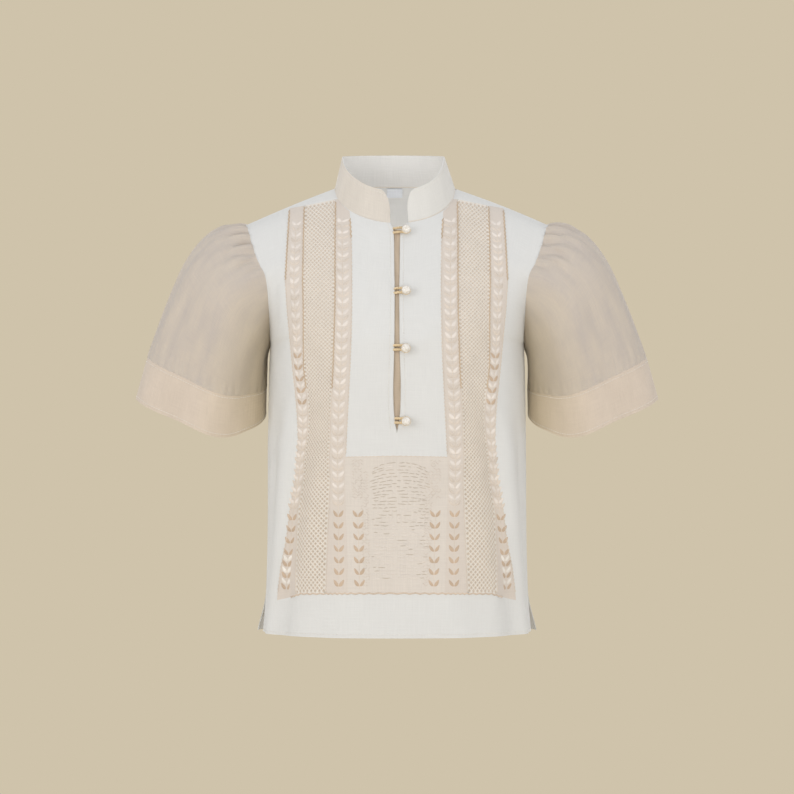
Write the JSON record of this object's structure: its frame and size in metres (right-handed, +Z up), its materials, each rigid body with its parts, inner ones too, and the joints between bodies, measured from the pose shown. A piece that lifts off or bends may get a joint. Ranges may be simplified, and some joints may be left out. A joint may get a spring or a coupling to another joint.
{
  "type": "short-sleeved linen blouse",
  "caption": "White linen blouse with a stand collar, buttoned neck slit, gathered short sleeves with deep cuffs and open side vents.",
  "frame": {"origin": "between the shoulders, on the centre plane and under the shoulder seams, level with the points where they meet the collar", "axes": "+Z up as worn, -Y towards the front, +X towards the wearer's left"},
  "size_m": [0.628, 0.2368, 0.5765],
  "materials": {
    "body_linen": "matte woven linen",
    "sleeve_cloth": "fine sheer weave",
    "cuff_cloth": "double layer of fine sheer weave",
    "collar_linen": "matte woven linen, faced",
    "underlap_cloth": "matte woven cloth",
    "loop_cord": "smooth covered cord",
    "pearl": "pearly",
    "label_tape": "smooth woven tape, bare"
  },
  "bodies": {
    "root": {"front": "body_linen", "back": "body_linen", "collar": "collar_linen", "sleeve_left": "sleeve_cloth", "sleeve_right": "sleeve_cloth", "cuff_left": "cuff_cloth", "cuff_right": "cuff_cloth", "underlap": "underlap_cloth", "label": "label_tape", "button_1": "pearl", "loop_1": "loop_cord", "button_2": "pearl", "loop_2": "loop_cord", "button_3": "pearl", "loop_3": "loop_cord", "button_4": "pearl", "loop_4": "loop_cord"}
  },
  "joints": []
}
